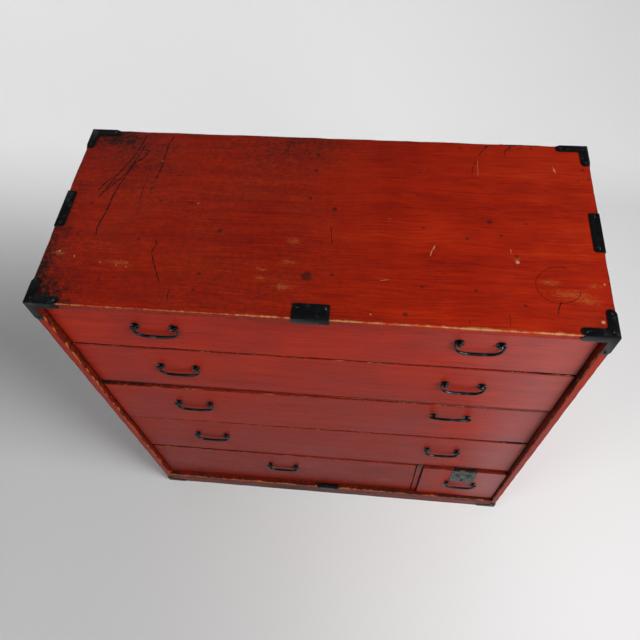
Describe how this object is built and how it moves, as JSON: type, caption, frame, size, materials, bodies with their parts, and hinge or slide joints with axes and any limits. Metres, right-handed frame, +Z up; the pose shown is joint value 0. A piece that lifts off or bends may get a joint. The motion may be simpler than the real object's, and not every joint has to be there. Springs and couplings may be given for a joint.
{
  "type": "clothes chest",
  "caption": "Red lacquered clothes chest with full-width drawers above a wide and a small lockable drawer, iron corner mounts and hanging bail handles.",
  "frame": {"origin": "on the floor, under the centre of the case", "axes": "+X to the right as seen from the front, -Y out of the front, +Z up"},
  "size_m": [0.9056, 0.3973, 0.9264],
  "materials": {
    "red_lacquered_wood": "worn red lacquer over open grain, semi-gloss",
    "dark_lacquered_wood": "darkened red lacquer, rubbed back along the edges",
    "bare_wood": "planed softwood, aged, no finish",
    "black_iron": "forged iron, blackened, rubbed grey on the high spots",
    "grey_iron": "worn sheet iron, satin"
  },
  "bodies": {
    "case": {"top_board": "red_lacquered_wood", "bottom_board": "dark_lacquered_wood", "left_side": "red_lacquered_wood", "right_side": "red_lacquered_wood", "back_boards": "bare_wood", "plinth_board": "red_lacquered_wood", "divider": "dark_lacquered_wood", "rail_1": "dark_lacquered_wood", "rail_2": "dark_lacquered_wood", "rail_3": "dark_lacquered_wood", "rail_4": "dark_lacquered_wood", "shelf_boards": "bare_wood", "top_corner_irons": "black_iron", "foot_corner_irons": "black_iron", "edge_irons": "black_iron", "iron_nails": "black_iron", "lock_strike": "black_iron"},
    "drawer_1": {"drawer_1_front": "red_lacquered_wood", "drawer_1_sides": "bare_wood", "drawer_1_back": "bare_wood", "drawer_1_bottom": "bare_wood", "drawer_1_eyes": "black_iron"},
    "drawer_2": {"drawer_2_front": "red_lacquered_wood", "drawer_2_sides": "bare_wood", "drawer_2_back": "bare_wood", "drawer_2_bottom": "bare_wood", "drawer_2_eyes": "black_iron"},
    "drawer_3": {"drawer_3_front": "red_lacquered_wood", "drawer_3_sides": "bare_wood", "drawer_3_back": "bare_wood", "drawer_3_bottom": "bare_wood", "drawer_3_eyes": "black_iron"},
    "drawer_4": {"drawer_4_front": "red_lacquered_wood", "drawer_4_sides": "bare_wood", "drawer_4_back": "bare_wood", "drawer_4_bottom": "bare_wood", "drawer_4_eyes": "black_iron"},
    "drawer_5": {"drawer_5_front": "red_lacquered_wood", "drawer_5_sides": "bare_wood", "drawer_5_back": "bare_wood", "drawer_5_bottom": "bare_wood", "drawer_5_eyes": "black_iron"},
    "drawer_6": {"drawer_6_front": "red_lacquered_wood", "drawer_6_sides": "bare_wood", "drawer_6_back": "bare_wood", "drawer_6_bottom": "bare_wood", "drawer_6_eyes": "black_iron", "lock_plate": "grey_iron", "lock_case": "grey_iron"},
    "bail_1_left": {"bail_1_left": "black_iron"},
    "bail_1_right": {"bail_1_right": "black_iron"},
    "bail_2_left": {"bail_2_left": "black_iron"},
    "bail_2_right": {"bail_2_right": "black_iron"},
    "bail_3_left": {"bail_3_left": "black_iron"},
    "bail_3_right": {"bail_3_right": "black_iron"},
    "bail_4_left": {"bail_4_left": "black_iron"},
    "bail_4_right": {"bail_4_right": "black_iron"},
    "bail_5": {"bail_5": "black_iron"},
    "bail_6": {"bail_6": "black_iron"},
    "lock_bolt": {"lock_bolt": "grey_iron"}
  },
  "joints": [
    {"name": "drawer_1_slide", "type": "slide", "parent": "case", "child": "drawer_1", "axis": [0, -1, 0], "range_m": [0, 0.3]},
    {"name": "drawer_2_slide", "type": "slide", "parent": "case", "child": "drawer_2", "axis": [0, -1, 0], "range_m": [0, 0.3]},
    {"name": "drawer_3_slide", "type": "slide", "parent": "case", "child": "drawer_3", "axis": [0, -1, 0], "range_m": [0, 0.3]},
    {"name": "drawer_4_slide", "type": "slide", "parent": "case", "child": "drawer_4", "axis": [0, -1, 0], "range_m": [0, 0.3]},
    {"name": "drawer_5_slide", "type": "slide", "parent": "case", "child": "drawer_5", "axis": [0, -1, 0], "range_m": [0, 0.3]},
    {"name": "drawer_6_slide", "type": "slide", "parent": "case", "child": "drawer_6", "axis": [0, -1, 0], "range_m": [0, 0.3]},
    {"name": "bail_1_left_swing", "type": "hinge", "parent": "drawer_1", "child": "bail_1_left", "pos_m": [-0.263, -0.1865, 0.85185], "axis": [-1, 0, 0], "range_deg": [-3, 178]},
    {"name": "bail_1_right_swing", "type": "hinge", "parent": "drawer_1", "child": "bail_1_right", "pos_m": [0.263, -0.1865, 0.86185], "axis": [-1, 0, 0], "range_deg": [-3, 178]},
    {"name": "bail_2_left_swing", "type": "hinge", "parent": "drawer_2", "child": "bail_2_left", "pos_m": [-0.257, -0.1865, 0.70885], "axis": [-1, 0, 0], "range_deg": [-3, 178]},
    {"name": "bail_2_right_swing", "type": "hinge", "parent": "drawer_2", "child": "bail_2_right", "pos_m": [0.26, -0.1865, 0.71285], "axis": [-1, 0, 0], "range_deg": [-3, 178]},
    {"name": "bail_3_left_swing", "type": "hinge", "parent": "drawer_3", "child": "bail_3_left", "pos_m": [-0.26142, -0.18842, 0.54805], "axis": [-1, -0.0073, 0], "range_deg": [-3, 178]},
    {"name": "bail_3_right_swing", "type": "hinge", "parent": "drawer_3", "child": "bail_3_right", "pos_m": [0.25757, -0.18462, 0.56205], "axis": [-1, -0.0073, 0], "range_deg": [-155, 26]},
    {"name": "bail_4_left_swing", "type": "hinge", "parent": "drawer_4", "child": "bail_4_left", "pos_m": [-0.25899, -0.1874, 0.3683], "axis": [-1, -0.0035, 0], "range_deg": [-3, 178]},
    {"name": "bail_4_right_swing", "type": "hinge", "parent": "drawer_4", "child": "bail_4_right", "pos_m": [0.26551, -0.18557, 0.3713], "axis": [-1, -0.0035, 0], "range_deg": [-3, 178]},
    {"name": "bail_5_swing", "type": "hinge", "parent": "drawer_5", "child": "bail_5", "pos_m": [-0.1115, -0.1865, 0.17575], "axis": [-1, 0, 0], "range_deg": [-3, 178]},
    {"name": "bail_6_swing", "type": "hinge", "parent": "drawer_6", "child": "bail_6", "pos_m": [0.3365, -0.191, 0.15975], "axis": [-1, 0, 0], "range_deg": [-3, 178]},
    {"name": "lock_bolt_slide", "type": "slide", "parent": "drawer_6", "child": "lock_bolt", "axis": [0, 0, 1], "range_m": [0, 0.006]}
  ]
}
